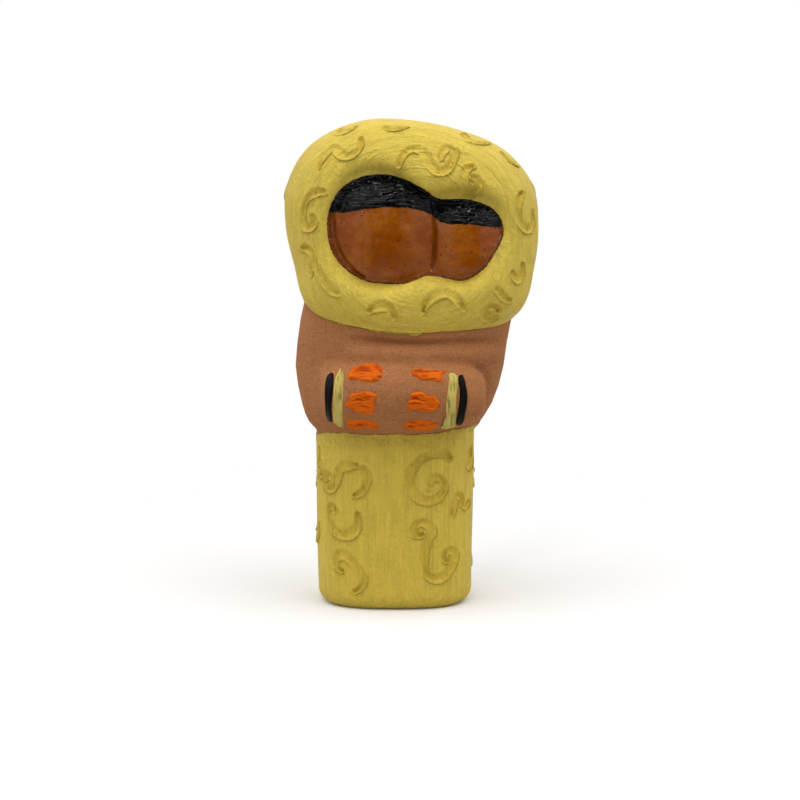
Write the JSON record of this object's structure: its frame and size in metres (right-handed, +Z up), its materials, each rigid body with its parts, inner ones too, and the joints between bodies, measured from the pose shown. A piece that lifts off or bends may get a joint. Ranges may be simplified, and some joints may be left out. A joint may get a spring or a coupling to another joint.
{
  "type": "santon figure",
  "caption": "Painted clay crib figure of a faceless mother and child under one hood, with folded arms and pressed scrolls.",
  "frame": {"origin": "centre of the flat underside of the skirt", "axes": "+Z up along the figure, -Y the way the two faces look, +X the child's side"},
  "size_m": [0.0677, 0.0476, 0.1305],
  "materials": {
    "fired_clay": "fired terracotta: bare on the upper body, thick matt yellow paint on the hood and skirt, honey brown glaze on the faces and thick glossy black paint for the hair, with orange, cream and black strokes on the folded arms"
  },
  "bodies": {
    "root": {"santon_figure": "fired_clay"}
  },
  "joints": []
}
